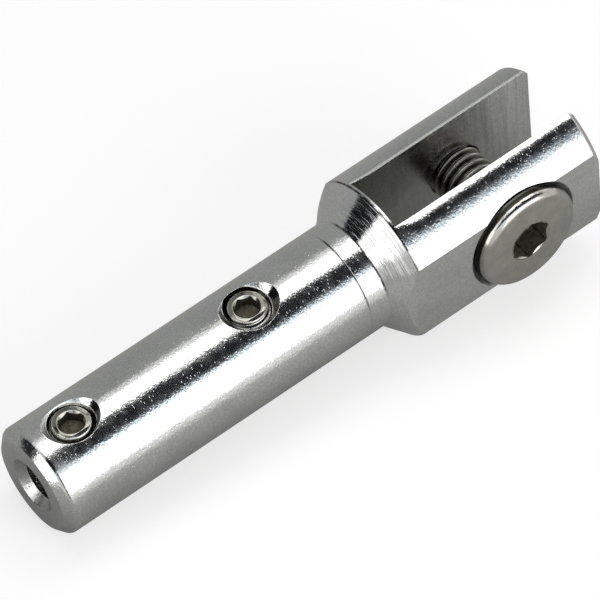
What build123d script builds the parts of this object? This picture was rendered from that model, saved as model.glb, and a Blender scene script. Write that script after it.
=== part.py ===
from build123d import *
import os
from math import radians, sqrt, tan

# Fork terminal for wire rope, clamped by two set screws. All sizes are in millimetres.
# X runs from the wire entry end to the fork tips, and Z points up out of the slot.
# The clevis screw goes in from the -Y side. Each piece is drawn with x = 0 at the wire entry
# face, and is moved at the end to put the origin on the clevis screw's axis, mid-slot.

# Turned barrel
barrel_diameter = 10.0
barrel_length = 32.9
entry_chamfer_length = 0.72
entry_chamfer_height = 0.81
entry_edge_radius = 0.5
witness_line_x = 31.0
witness_line_width = 0.16
witness_line_depth = 0.07

# Blind bore for the wire rope
wire_bore_diameter = 3.4
wire_bore_depth = 30.0
bore_mouth_diameter = 5.0
bore_mouth_depth = 0.7
drill_point_angle = 118.0

# Shoulder and fork head, turned with the barrel
shoulder_length = 2.3
shoulder_land = 0.3
fork_diameter = 14.84
tip_chamfer = 0.5

# Milled slot and outer flats of the fork
slot_depth = 18.7
slot_width = 5.9
width_across_flats = 12.25
slot_edge_break = 0.12

# Clevis screw
clevis_from_tip = 8.1
clevis_diameter = 5.0
clevis_head_diameter = 9.8
clevis_head_stand = 0.86
clevis_head_edge_width = 0.54
clevis_head_edge_height = 0.81
clevis_end_recess = 0.3
clevis_end_chamfer = 0.4
clevis_socket_width = 3.5
clevis_socket_depth = 2.0
clevis_socket_mouth = 3.9
clevis_socket_turn = 24.0

# Countersink and holes for the clevis screw
countersink_diameter = 10.7
head_seat_gap = 0.06
near_ear_clearance = 0.1
far_hole_chamfer = 0.1

# Set screws
set_screw_diameter = 4.0
set_screw_length = 2.8
set_screw_end_chamfer_width = 0.4
set_screw_end_chamfer_length = 0.65
set_socket_width = 2.0
set_socket_depth = 1.1
set_socket_mouth = 2.45
front_set_screw_x = 4.5
front_set_screw_sink = 0.4
front_socket_turn = 12.0
rear_set_screw_x = 22.3
rear_set_screw_sink = 0.45
rear_socket_turn = 38.0

# Tapped holes for the set screws
set_hole_mouth = 5.06
set_hole_floor = 0.0

# Radial gap of each screw in its tapped hole, between nominal thread diameters
thread_gap = 0.03

barrel_radius = barrel_diameter / 2
fork_radius = fork_diameter / 2
shoulder_end_x = barrel_length + shoulder_length
slot_floor_x = shoulder_end_x + shoulder_land
body_length = slot_floor_x + slot_depth
flat_y = width_across_flats / 2
slot_wall_y = slot_width / 2
clevis_x = body_length - clevis_from_tip
clevis_head_y = flat_y + clevis_head_stand
cutter_margin = 1.0


def drill_point_length(radius, angle):
    """Length of the cone that a drill leaves at the bottom of its hole."""
    return radius / tan(radians(angle / 2))


def turned_about_x(points):
    """Solid of revolution about X from (x, radius) points."""
    with BuildPart() as turned:
        with BuildSketch(Plane.XZ):
            with BuildLine():
                Polyline(*points, close=True)
            make_face()
        revolve(axis=Axis.X)
    return turned.part


def turned_on_plane(points, plane):
    """Solid of revolution about a plane's normal, from (radius, height) points above that plane."""
    with BuildPart() as turned:
        with BuildSketch(Plane.XZ):
            with BuildLine():
                Polyline(*points, close=True)
            make_face()
        revolve(axis=Axis.Z)
    return plane.location * turned.part


def hex_socket(width, depth, mouth_diameter, turn):
    """Hexagon socket that opens upwards at z = 0, with a chamfered mouth and a drill point."""
    inscribed_radius = width / 2
    mouth_radius = mouth_diameter / 2
    with BuildPart() as socket:
        with BuildSketch():
            RegularPolygon(inscribed_radius, 6, major_radius=False, rotation=turn)
        extrude(amount=-depth)
        with BuildSketch(Plane.XZ):
            with BuildLine():
                Polyline(
                    (0, 0),
                    (mouth_radius, 0),
                    (0, -mouth_radius),
                    close=True,
                )
            make_face()
        revolve(axis=Axis.Z)
        with BuildSketch(Plane.XZ):
            with BuildLine():
                Polyline(
                    (0, -depth),
                    (inscribed_radius, -depth),
                    (0, -depth - drill_point_length(inscribed_radius, drill_point_angle)),
                    close=True,
                )
            make_face()
        revolve(axis=Axis.Z)
    return socket.part


def turned_blank():
    """Barrel, shoulder and fork head before milling, with the witness line round the barrel."""
    blank = turned_about_x([
        (0, 0),
        (0, barrel_radius - entry_chamfer_height),
        (entry_chamfer_length, barrel_radius),
        (witness_line_x - witness_line_width / 2, barrel_radius),
        (witness_line_x, barrel_radius - witness_line_depth),
        (witness_line_x + witness_line_width / 2, barrel_radius),
        (barrel_length, barrel_radius),
        (shoulder_end_x, fork_radius),
        (body_length - tip_chamfer, fork_radius),
        (body_length, fork_radius - tip_chamfer),
        (body_length, 0),
    ])
    chamfer_rims = blank.edges().filter_by(GeomType.CIRCLE).group_by(Axis.X)[1]
    return fillet(chamfer_rims, entry_edge_radius)


def wire_bore():
    """Blind bore with its chamfered mouth and drill point."""
    bore_radius = wire_bore_diameter / 2
    return turned_about_x([
        (0, 0),
        (0, bore_mouth_diameter / 2),
        (bore_mouth_depth, bore_radius),
        (wire_bore_depth, bore_radius),
        (wire_bore_depth + drill_point_length(bore_radius, drill_point_angle), 0),
    ])


def milled_fork(blank):
    """Cut the two outer flats and the slot, and break the slot's sharp edges."""
    reach = fork_diameter + 2 * cutter_margin
    with BuildPart() as fork:
        add(blank)
        with Locations((body_length / 2, 0, 0)):
            Box(body_length, width_across_flats, reach, mode=Mode.INTERSECT)
        with Locations((slot_floor_x, 0, 0)):
            Box(
                slot_depth + cutter_margin,
                slot_width,
                reach,
                align=(Align.MIN, Align.CENTER, Align.CENTER),
                mode=Mode.SUBTRACT,
            )
        edge_z = sqrt(fork_radius ** 2 - slot_wall_y ** 2)
        long_edges = [
            edge
            for edge in fork.edges().filter_by(Axis.X)
            if abs(abs(edge.center().Y) - slot_wall_y) < 0.01 and abs(abs(edge.center().Z) - edge_z) < 0.01
        ]
        chamfer(long_edges, slot_edge_break)
    return fork.part


def clevis_way():
    """Cutter for the clevis screw: countersink and clearance hole in the near ear, tapped hole in the far ear."""
    clear_radius = clevis_diameter / 2 + near_ear_clearance
    tapped_radius = clevis_diameter / 2 + thread_gap
    mouth_radius = countersink_diameter / 2
    near_face = Plane(origin=(clevis_x, 0, 0), x_dir=(1, 0, 0), z_dir=(0, -1, 0))
    return turned_on_plane([
        (0, flat_y + cutter_margin),
        (mouth_radius, flat_y + cutter_margin),
        (mouth_radius, flat_y),
        (clear_radius, flat_y - (mouth_radius - clear_radius)),
        (clear_radius, 0),
        (tapped_radius + far_hole_chamfer, 0),
        (tapped_radius + far_hole_chamfer, -slot_wall_y),
        (tapped_radius, -slot_wall_y - far_hole_chamfer),
        (tapped_radius, -flat_y + far_hole_chamfer),
        (tapped_radius + far_hole_chamfer, -flat_y),
        (tapped_radius + far_hole_chamfer, -flat_y - cutter_margin),
        (0, -flat_y - cutter_margin),
    ], near_face)


def set_screw_way(x):
    """Cutter for one set screw: countersunk tapped hole down to the middle of the wire bore."""
    tapped_radius = set_screw_diameter / 2 + thread_gap
    mouth_radius = set_hole_mouth / 2
    top = barrel_radius + cutter_margin
    return turned_on_plane([
        (0, set_hole_floor - drill_point_length(tapped_radius, drill_point_angle)),
        (tapped_radius, set_hole_floor),
        (tapped_radius, barrel_radius - (mouth_radius - tapped_radius)),
        (mouth_radius + cutter_margin, top),
        (0, top),
    ], Plane(origin=(x, 0, 0)))


def fork_body():
    """The one machined piece: turned blank, bore, milled fork and screw holes."""
    body = milled_fork(turned_blank())
    body = body - wire_bore()
    body = body - clevis_way()
    body = body - set_screw_way(front_set_screw_x)
    body = body - set_screw_way(rear_set_screw_x)
    return body


def clevis_screw():
    """Flat-headed screw whose cone seats in the near ear and whose end stops inside the far ear."""
    head_radius = clevis_head_diameter / 2
    shank_radius = clevis_diameter / 2
    cone_top = flat_y - (countersink_diameter / 2 - head_radius) + head_seat_gap
    cone_bottom = cone_top - (head_radius - shank_radius)
    end = -flat_y + clevis_end_recess
    axis_plane = Plane(origin=(clevis_x, 0, 0), x_dir=(1, 0, 0), z_dir=(0, -1, 0))
    face_radius = head_radius - clevis_head_edge_width
    side_top = clevis_head_y - clevis_head_edge_height
    with BuildPart() as turned:
        with BuildSketch(Plane.XZ):
            with BuildLine():
                Polyline((face_radius, clevis_head_y), (0, clevis_head_y), (0, end))
                EllipticalCenterArc(
                    (face_radius, side_top),
                    clevis_head_edge_width,
                    clevis_head_edge_height,
                    start_angle=0,
                    arc_size=90,
                )
                Polyline(
                    (head_radius, side_top),
                    (head_radius, cone_top),
                    (shank_radius, cone_bottom),
                    (shank_radius, end + clevis_end_chamfer),
                    (shank_radius - clevis_end_chamfer, end),
                    (0, end),
                )
            make_face()
        revolve(axis=Axis.Z)
    screw = axis_plane.location * turned.part
    socket = hex_socket(clevis_socket_width, clevis_socket_depth, clevis_socket_mouth, clevis_socket_turn)
    head_plane = Plane(origin=(clevis_x, -clevis_head_y, 0), x_dir=(1, 0, 0), z_dir=(0, -1, 0))
    return screw - head_plane.location * socket


def set_screw(x, sink, turn):
    """Headless screw, chamfered at both ends, with its socket face just under the barrel's surface."""
    radius = set_screw_diameter / 2
    face_z = barrel_radius - sink
    screw = turned_on_plane([
        (0, 0),
        (radius - set_screw_end_chamfer_width, 0),
        (radius, -set_screw_end_chamfer_length),
        (radius, -set_screw_length + set_screw_end_chamfer_length),
        (radius - set_screw_end_chamfer_width, -set_screw_length),
        (0, -set_screw_length),
    ], Plane.XY)
    socket = hex_socket(set_socket_width, set_socket_depth, set_socket_mouth, turn)
    return Location((x, 0, face_z)) * (screw - socket)


pin_centre_at_origin = Location((-clevis_x, 0, 0))

parts = {
    "fork_body": fork_body(),
    "clevis_screw": clevis_screw(),
    "front_set_screw": set_screw(front_set_screw_x, front_set_screw_sink, front_socket_turn),
    "rear_set_screw": set_screw(rear_set_screw_x, rear_set_screw_sink, rear_socket_turn),
}

os.makedirs("parts", exist_ok=True)
for name, part in parts.items():
    export_step(pin_centre_at_origin * part, f"parts/{name}.step")
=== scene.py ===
"""Looks of a fork terminal for wire rope: plated turned body, clevis screw and two set screws."""

from math import atan2, cos, degrees, pi, radians, sin, sqrt, tan

import bmesh
import bpy
from mathutils import Matrix, Vector


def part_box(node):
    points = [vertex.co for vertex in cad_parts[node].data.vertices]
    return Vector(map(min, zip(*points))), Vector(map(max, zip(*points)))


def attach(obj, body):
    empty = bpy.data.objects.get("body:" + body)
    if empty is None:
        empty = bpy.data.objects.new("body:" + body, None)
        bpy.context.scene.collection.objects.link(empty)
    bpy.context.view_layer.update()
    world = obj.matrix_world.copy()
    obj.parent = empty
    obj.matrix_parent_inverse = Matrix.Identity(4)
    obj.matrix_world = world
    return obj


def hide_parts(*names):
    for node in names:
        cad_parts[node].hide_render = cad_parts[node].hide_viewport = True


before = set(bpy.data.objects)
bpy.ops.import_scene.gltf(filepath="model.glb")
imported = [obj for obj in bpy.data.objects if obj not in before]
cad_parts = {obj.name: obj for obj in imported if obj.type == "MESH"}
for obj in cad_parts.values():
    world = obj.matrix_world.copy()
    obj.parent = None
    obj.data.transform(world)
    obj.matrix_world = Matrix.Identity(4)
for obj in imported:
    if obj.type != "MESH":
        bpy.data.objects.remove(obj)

bl_info = {
    "name": "Fork terminal",
    "version": (1, 0, 0),
    "blender": (4, 5, 0),
    "location": "View3D > Sidebar > Terminal",
    "description": "Builds the plated fork terminal, its screws and a studio round it",
    "category": "Object",
}

MM = 0.001

# Half of a drill point's angle, how far a cutter reaches past what it cuts, and what counts as touching
DRILL_POINT = radians(59)
CUT_MARGIN = 2 * MM
TOUCHING = 1e-7

# Edges that turn by more than this are drawn sharp
SHARP_BODY_EDGE = radians(20)
SHARP_SCREW_EDGE = radians(28)

# Places that come from the frame. X runs from the wire entry to the fork tips.
BODY_LOW, BODY_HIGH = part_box("fork_body")
CLEVIS_LOW, CLEVIS_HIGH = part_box("clevis_screw")
FRONT_LOW, FRONT_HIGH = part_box("front_set_screw")
REAR_LOW, REAR_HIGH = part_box("rear_set_screw")
ENTRY_X = BODY_LOW.x
TIP_X = BODY_HIGH.x
FLAT_Y = BODY_HIGH.y
FORK_RADIUS = BODY_HIGH.z
CLEVIS_X = (CLEVIS_LOW.x + CLEVIS_HIGH.x) / 2
FRONT_X = (FRONT_LOW.x + FRONT_HIGH.x) / 2
REAR_X = (REAR_LOW.x + REAR_HIGH.x) / 2


def a_length(name, description, millimetres):
    """A length in metres whose default is given in millimetres."""
    return bpy.props.FloatProperty(
        name=name, description=description, default=millimetres * MM,
        precision=6, subtype="DISTANCE", unit="LENGTH")


def an_angle(name, description, degrees):
    """An angle whose default is given in degrees."""
    return bpy.props.FloatProperty(
        name=name, description=description, default=radians(degrees), subtype="ANGLE", unit="ROTATION")


def a_factor(name, description, default, highest=1.0):
    """A plain number from 0 to highest."""
    return bpy.props.FloatProperty(name=name, description=description, default=default, min=0.0, max=highest)


def a_colour(name, description, default):
    """A linear colour."""
    return bpy.props.FloatVectorProperty(
        name=name, description=description, default=default, size=3, min=0.0, max=1.0, subtype="COLOR")


def a_count(name, description, default, low, high):
    """A whole number."""
    return bpy.props.IntProperty(name=name, description=description, default=default, min=low, max=high)


class BodySizes(bpy.types.PropertyGroup):
    """Sizes of the turned and milled body."""
    barrel_radius: a_length("Barrel radius", "Radius of the plain barrel", 5.0)
    barrel_length: a_length("Barrel length", "Entry face to the shoulder", 32.9)
    entry_chamfer_length: a_length("Entry chamfer length", "Along the barrel", 0.72)
    entry_chamfer_height: a_length("Entry chamfer height", "Across the barrel", 0.81)
    witness_line: a_length("Witness line", "From the entry face", 31.0)
    witness_width: a_length("Witness line width", "Along the barrel", 0.16)
    witness_depth: a_length("Witness line depth", "Into the barrel", 0.07)
    shoulder_length: a_length("Shoulder length", "Length of the cone", 2.3)
    shoulder_land: a_length("Shoulder land", "Full round behind the slot floor", 0.3)
    tip_chamfer: a_length("Tip chamfer", "On the turned edge of the fork tips", 0.5)
    edge_round: a_length("Edge round", "Radius of the turned edges", 0.09)
    entry_round: a_length("Entry round", "Radius at the entry chamfer's outer edge", 0.5)
    tip_round: a_length("Tip round", "Radius at the two edges of the tip chamfer", 0.3)
    slot_width: a_length("Slot width", "Between the ears", 5.9)
    slot_edge: a_length("Slot edge", "Rounding of the slot's long edges", 0.14)
    roll_width: a_length("Roll width", "Round rolled off beside the slot", 1.3)
    roll_slope: a_factor("Roll slope", "Slope of the rolled-off round at the slot", 0.27)
    bore_radius: a_length("Bore radius", "Wire bore", 1.7)
    bore_depth: a_length("Bore depth", "To the drill point", 30.0)
    mouth_radius: a_length("Mouth radius", "Countersink of the wire bore", 2.5)
    mouth_depth: a_length("Mouth depth", "Countersink of the wire bore", 0.7)
    sink_radius: a_length("Countersink radius", "For the clevis screw's head", 5.35)
    clear_radius: a_length("Clearance radius", "Hole in the near ear", 2.6)
    clevis_hub: a_length("Countersink hub", "Radius at the countersink's bottom", 2.3)
    tapped_radius: a_length("Tapped radius", "Hole in the far ear", 2.53)
    tapped_break: a_length("Tapped edge break", "Both ends of the tapped hole", 0.1)
    set_hole_radius: a_length("Set hole radius", "Tapped holes in the barrel", 2.03)
    front_mouth_radius: a_length("Front hole mouth", "Countersink at the top of the barrel", 2.56)
    rear_mouth_radius: a_length("Rear hole mouth", "Countersink at the top of the barrel", 2.68)
    rear_mouth_x: a_length("Rear mouth shift", "Countersink off its hole, along the barrel", 0.08)
    rear_mouth_y: a_length("Rear mouth side shift", "Countersink off its hole, across it", -0.38)
    sink_shift_x: a_length("Countersink shift", "Clevis countersink off its hole, along X", -0.13)
    sink_shift_z: a_length("Countersink lift", "Clevis countersink off its hole, upwards", 0.17)
    segments: a_count("Segments", "Facets round the body", 288, 24, 512)


class ScrewSizes(bpy.types.PropertyGroup):
    """Sizes of the clevis screw and the set screws."""
    head_radius: a_length("Head radius", "Clevis screw", 4.9)
    head_side: a_length("Head side", "From the head's face down to its cone", 1.25)
    rim_width: a_length("Rim width", "Rounded rim of the head, across it", 0.64)
    rim_height: a_length("Rim height", "Rounded rim of the head, along its axis", 0.81)
    clevis_radius: a_length("Clevis radius", "Crests of the clevis screw's thread", 2.5)
    clevis_root: a_length("Clevis root", "Roots of the clevis screw's thread", 2.04)
    clevis_pitch: a_length("Clevis pitch", "Thread pitch", 0.8)
    clevis_chamfer: a_length("Clevis end chamfer", "At the screw's end", 0.4)
    clevis_key: a_length("Clevis key", "Hexagon across flats", 3.5)
    clevis_socket: a_length("Clevis socket", "Depth of the hexagon", 2.0)
    clevis_mouth: a_length("Clevis socket mouth", "Radius of the chamfer at the socket's mouth", 1.88)
    clevis_turn: an_angle("Clevis turn", "Turn of the hexagon", 24.0)
    set_radius: a_length("Set radius", "Crests of the set screws' thread", 2.0)
    set_root: a_length("Set root", "Roots of the set screws' thread", 1.6)
    set_pitch: a_length("Set pitch", "Thread pitch", 0.7)
    set_chamfer: a_length("Set chamfer", "Across both ends", 0.4)
    set_chamfer_length: a_length("Set chamfer length", "Along both ends", 0.65)
    set_key: a_length("Set key", "Hexagon across flats", 2.0)
    set_socket: a_length("Set socket", "Depth of the hexagon", 1.1)
    set_mouth: a_length("Set socket mouth", "Radius of the chamfer at the socket's mouth", 1.19)
    front_turn: an_angle("Front turn", "Turn of the front set screw's hexagon", 12.0)
    rear_turn: an_angle("Rear turn", "Turn of the rear set screw's hexagon", 38.0)
    thread_segments: a_count("Thread segments", "Facets round a thread", 72, 16, 256)
    rings_per_pitch: a_count("Rings per pitch", "Rings along one thread pitch", 16, 6, 48)


class FinishSettings(bpy.types.PropertyGroup):
    """Colours and strengths of the finishes."""
    plating: a_colour("Plating", "Bright plated body", (0.62, 0.625, 0.61))
    screw_steel: a_colour("Screw steel", "Clevis screw", (0.58, 0.555, 0.51))
    set_steel: a_colour("Set screw steel", "Set screws", (0.56, 0.545, 0.47))
    # Painted shade: a near-black colour that the masks mix into gaps, thread roots, countersinks and turned
    # lines, where shade falls
    painted_recess_shade: a_colour("Recess dirt", "Oil and dirt in gaps and roots", (0.035, 0.033, 0.026))
    # The two socket colours are darker than the steel: an unpolished surface, with painted shade inside the
    # deep hexagon sockets
    set_socket: a_colour("Set socket", "Unpolished inside of the set screws", (0.15, 0.135, 0.1))
    clevis_socket: a_colour("Clevis socket", "Inside of the clevis screw's socket", (0.25, 0.23, 0.18))
    # Painted shade: a darker colour towards the slot's floor, deep between the ears
    slot_floor_shade: a_colour("Slot tarnish", "Deep end of the slot", (0.26, 0.26, 0.22))
    # Painted highlight: a near-white colour for bright lines on the edges of the screws, the holes and the
    # slot
    edge_highlight_colour: a_colour("Worn edge", "Bright edges of screws and holes", (0.9, 0.89, 0.85))
    plating_roughness: a_factor("Plating roughness", "Body", 0.16)
    milled_roughness: a_factor("Milled roughness", "Flats and slot walls", 0.24)
    screw_roughness: a_factor("Screw roughness", "Clevis screw", 0.22)
    set_roughness: a_factor("Set screw roughness", "Set screws", 0.2)
    socket_roughness: a_factor("Socket roughness", "Inside of the hexagon sockets", 0.6)
    dull_roughness: a_factor("Dull roughness", "Entry end of the barrel", 0.3)
    # Roughness of the painted edge highlights
    edge_highlight_roughness: a_factor("Worn roughness", "Worn edges of screws and holes", 0.45)
    thread_roughness: a_factor("Thread roughness", "Thread and head rim of the clevis screw", 0.18)
    grain_height: a_length("Grain height", "Fine unevenness of the plating", 0.016)
    groove_height: a_length("Groove height", "Turning marks on the shoulder", 0.05)
    milling_height: a_length("Milling height", "Milling marks on the slot walls", 0.004)


class StudioSettings(bpy.types.PropertyGroup):
    """Camera, lamps, cards and floor."""
    azimuth: an_angle("Azimuth", "Camera's turn round the part", -32.748)
    elevation: an_angle("Elevation", "Camera's height over the part", 51.935)
    roll: an_angle("Roll", "Camera's turn about its own axis", -6.635)
    distance: a_length("Distance", "Camera to the point it looks at", 469.03)
    lens: bpy.props.FloatProperty(name="Lens", description="Focal length in millimetres", default=350.24)
    floor_colour: a_colour("Floor colour", "Pale floor", (0.86, 0.86, 0.86))
    dark_card: a_colour("Dark cards", "Gap and corner", (0.015, 0.016, 0.021))
    grey_card: a_colour("Grey card", "Behind the part", (0.375, 0.39, 0.385))
    fill_strength: a_factor("Fill", "World light on the floor", 0.4, 4.0)
    lamp_radiance: a_factor("Lamp radiance", "Brightness of each lamp's face", 2.0, 10.0)
    table_light: a_factor("Table light", "Open table, as the part mirrors it", 0.5, 4.0)
    table_shade: a_factor("Table shade", "Table under the part, as it mirrors it", 0.2, 4.0)
    gap_fork: a_length("Gap over the fork", "Where the gap card's edge turns softer, along X", 96.0)
    gap_end: an_angle("Gap end", "Where the gap card has turned bright, over the barrel", 131.0)
    gap_fork_end: an_angle("Gap end over the fork", "Where the gap card has turned bright", 143.0)


SETTINGS = {
    "terminal_body": BodySizes,
    "terminal_screws": ScrewSizes,
    "terminal_finish": FinishSettings,
    "terminal_studio": StudioSettings,
}


# Mesh helpers

def linked(name, mesh):
    """New object for a mesh, in the scene."""
    made = bpy.data.objects.new(name, mesh)
    bpy.context.scene.collection.objects.link(made)
    return made


def finished(name, shape, matrix):
    """New object from a shape in the making, moved by a matrix."""
    mesh = bpy.data.meshes.new(name)
    shape.to_mesh(mesh)
    shape.free()
    mesh.transform(matrix)
    return linked(name, mesh)


def opened(made):
    """An object's mesh, open for changes."""
    shape = bmesh.new()
    shape.from_mesh(made.data)
    return shape


def closed(made, shape):
    """Put an opened mesh back."""
    shape.to_mesh(made.data)
    shape.free()


def rounded_profile(corners, steps=4):
    """Profile points from (along, radius, rounding) corners, with each rounded corner as an arc."""
    points = []
    for index, (along, radius, rounding) in enumerate(corners):
        here = Vector((along, radius))
        if rounding <= 0 or index in (0, len(corners) - 1):
            points.append(here)
            continue
        before = (Vector(corners[index - 1][:2]) - here).normalized()
        after = (Vector(corners[index + 1][:2]) - here).normalized()
        half = before.angle(after) / 2
        setback = rounding / tan(half)
        centre = here + (before + after).normalized() * (rounding / sin(half))
        start = here + before * setback - centre
        sweep = start.angle_signed(here + after * setback - centre)
        for step in range(steps + 1):
            turn = -sweep * step / steps
            points.append(centre + Vector((
                start.x * cos(turn) - start.y * sin(turn), start.x * sin(turn) + start.y * cos(turn))))
    return points


def rounded_rim(top, radius, width, height, steps=8):
    """Corners of a rim that rounds over as a quarter of an ellipse, up to the flat top."""
    turns = [pi / 2 * step / steps for step in range(steps + 1)]
    return [(top - height + height * sin(turn), radius - width + width * cos(turn), 0) for turn in turns]


def turned_object(name, points, axis, segments):
    """Closed solid of revolution from (along, radius) points, whose own Z lies on the axis matrix's Z."""
    shape = bmesh.new()
    rings = []
    for along, radius in points:
        if radius < TOUCHING:
            rings.append([shape.verts.new((0, 0, along))])
            continue
        turns = (2 * pi * step / segments for step in range(segments))
        rings.append([shape.verts.new((radius * cos(turn), radius * sin(turn), along)) for turn in turns])
    for lower, upper in zip(rings, rings[1:]):
        for step in range(segments):
            corners = [
                lower[step % len(lower)], lower[(step + 1) % len(lower)],
                upper[(step + 1) % len(upper)], upper[step % len(upper)],
            ]
            unique = list(dict.fromkeys(corners))
            if len(unique) > 2:
                shape.faces.new(unique)
    bmesh.ops.recalc_face_normals(shape, faces=shape.faces)
    return finished(name, shape, axis)


def box_object(name, low, high):
    """Closed box between two corners."""
    shape = bmesh.new()
    bmesh.ops.create_cube(shape, size=1.0)
    middle, size = (low + high) / 2, high - low
    return finished(name, shape, Matrix.Translation(middle) @ Matrix.Diagonal((*size, 1.0)))


def as_evaluated_mesh(made):
    """Swap an object's mesh for its evaluated one, and drop its modifiers."""
    graph = bpy.context.evaluated_depsgraph_get()
    mesh = bpy.data.meshes.new_from_object(made.evaluated_get(graph))
    mesh.name = made.name
    made.modifiers.clear()
    made.data = mesh
    return made


def combine(target, tool, operation="DIFFERENCE"):
    """Cut the target with the tool, and remove the tool."""
    modifier = target.modifiers.new("cut", "BOOLEAN")
    modifier.operation = operation
    modifier.solver = "EXACT"
    modifier.object = tool
    as_evaluated_mesh(target)
    bpy.data.objects.remove(tool)


def drill(body, axis, segments, *points):
    """Cut a turned shape of (along, radius) points out of the body, closed on the axis at both ends."""
    profile = dict.fromkeys([(points[0][0], 0), *points, (points[-1][0], 0)])
    combine(body, turned_object("drill", profile, axis, segments))


def smooth_with_sharp_edges(made, limit, keep_smooth=None):
    """Smooth shading with sharp edges over the limit angle, apart from those that keep_smooth picks."""
    shape = opened(made)
    bmesh.ops.remove_doubles(shape, verts=shape.verts, dist=TOUCHING)
    for face in shape.faces:
        face.smooth = True
    for edge in shape.edges:
        sharp = len(edge.link_faces) == 2 and edge.calc_face_angle() > limit
        if sharp and keep_smooth and keep_smooth(edge):
            sharp = False
        edge.smooth = not sharp
    closed(made, shape)
    return made


def along_x():
    """Own Z turned to world X."""
    return Matrix(((0, 0, 1, 0), (0, 1, 0, 0), (-1, 0, 0, 0), (0, 0, 0, 1)))


def along_minus_y(x, y=0.0, z=0.0):
    """Own Z turned to world -Y, own Y to world Z, at a place."""
    turn = Matrix(((1, 0, 0, 0), (0, 0, -1, 0), (0, 1, 0, 0), (0, 0, 0, 1)))
    return Matrix.Translation((x, y, z)) @ turn


# Body

def lengthwise(sizes):
    """X of the barrel's end, of the cone's end and of the slot's floor."""
    barrel_end = ENTRY_X + sizes.barrel_length
    cone_end = barrel_end + sizes.shoulder_length
    return barrel_end, cone_end, cone_end + sizes.shoulder_land


def slot_edge_z(sizes):
    """Height at which the slot's walls meet the fork's round."""
    return sqrt(FORK_RADIUS ** 2 - (sizes.slot_width / 2) ** 2)


def turned_blank(sizes):
    """Barrel, shoulder and fork head, as turned."""
    barrel = sizes.barrel_radius
    barrel_end, cone_end, _ = lengthwise(sizes)
    line = ENTRY_X + sizes.witness_line
    half_line = sizes.witness_width / 2
    corners = [
        (ENTRY_X, 0, 0),
        (ENTRY_X, barrel - sizes.entry_chamfer_height, sizes.edge_round),
        (ENTRY_X + sizes.entry_chamfer_length, barrel, sizes.entry_round),
        (line - half_line, barrel, 0),
        (line, barrel - sizes.witness_depth, 0),
        (line + half_line, barrel, 0),
        (barrel_end, barrel, 0),
        (cone_end, FORK_RADIUS, sizes.edge_round),
        (TIP_X - sizes.tip_chamfer, FORK_RADIUS, sizes.tip_round),
        (TIP_X, FORK_RADIUS - sizes.tip_chamfer, sizes.tip_round),
        (TIP_X, 0, 0),
    ]
    return turned_object("fork_terminal_body", rounded_profile(corners), along_x(), sizes.segments)


def roll_slot_sides(body, sizes):
    """Polishing has rolled the fork's round off towards the slot, more near the slot's floor."""
    slot_floor = lengthwise(sizes)[2]
    edge_turn = atan2(slot_edge_z(sizes), sizes.slot_width / 2)
    full_roll = 2 * MM
    widest, narrowest = 1.3, 0.7
    inside = FORK_RADIUS - sizes.tip_chamfer - 0.05 * MM
    shape = opened(body)
    extra_rings = (0.3, 0.8, 1.4, 2.0, 8.0, 14.0)
    for past_floor in extra_rings:
        bmesh.ops.bisect_plane(
            shape, geom=[*shape.verts, *shape.edges, *shape.faces], dist=TOUCHING,
            plane_co=(slot_floor + past_floor * MM, 0, 0), plane_no=(1, 0, 0))
    for vertex in shape.verts:
        past_floor = vertex.co.x - slot_floor
        radius = sqrt(vertex.co.y ** 2 + vertex.co.z ** 2)
        if past_floor <= 0 or radius < inside:
            continue
        from_edge = (edge_turn - atan2(abs(vertex.co.z), abs(vertex.co.y))) * FORK_RADIUS
        share = widest - (widest - narrowest) * past_floor / (TIP_X - slot_floor)
        width = sizes.roll_width * share * min(1.0, past_floor / full_roll)
        if from_edge >= width:
            continue
        drop = sizes.roll_slope * width / 2 * (1 - max(from_edge, 0) / width) ** 2
        vertex.co.y *= (radius - drop) / radius
        vertex.co.z *= (radius - drop) / radius
    closed(body, shape)


def round_slot_edges(body, sizes):
    """Round the four long edges between the slot's walls and the fork's outside."""
    near_wall, near_edge = 0.05 * MM, 0.4 * MM
    shape = opened(body)

    def on_edge(vertex):
        off_wall = abs(abs(vertex.co.y) - sizes.slot_width / 2)
        return off_wall < near_wall and abs(abs(vertex.co.z) - slot_edge_z(sizes)) < near_edge

    edges = [edge for edge in shape.edges if all(on_edge(vertex) for vertex in edge.verts)]
    bmesh.ops.bevel(
        shape, geom=edges, offset=sizes.slot_edge, offset_type="OFFSET", segments=7, profile=0.5,
        affect="EDGES", clamp_overlap=True)
    closed(body, shape)


def clevis_sink_centre(sizes):
    """X and Z of the clevis screw's countersink, which sits slightly off its hole."""
    return CLEVIS_X + sizes.sink_shift_x, sizes.sink_shift_z


def set_mouths(sizes):
    """Each set hole's X, its countersink's X, Y and radius, and how much of the painted shade in its
    countersink its entry side is spared.
    """
    return (
        (FRONT_X, FRONT_X, 0.0, sizes.front_mouth_radius, 0.8),
        (REAR_X, REAR_X + sizes.rear_mouth_x, sizes.rear_mouth_y, sizes.rear_mouth_radius, 0.0),
    )


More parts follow.
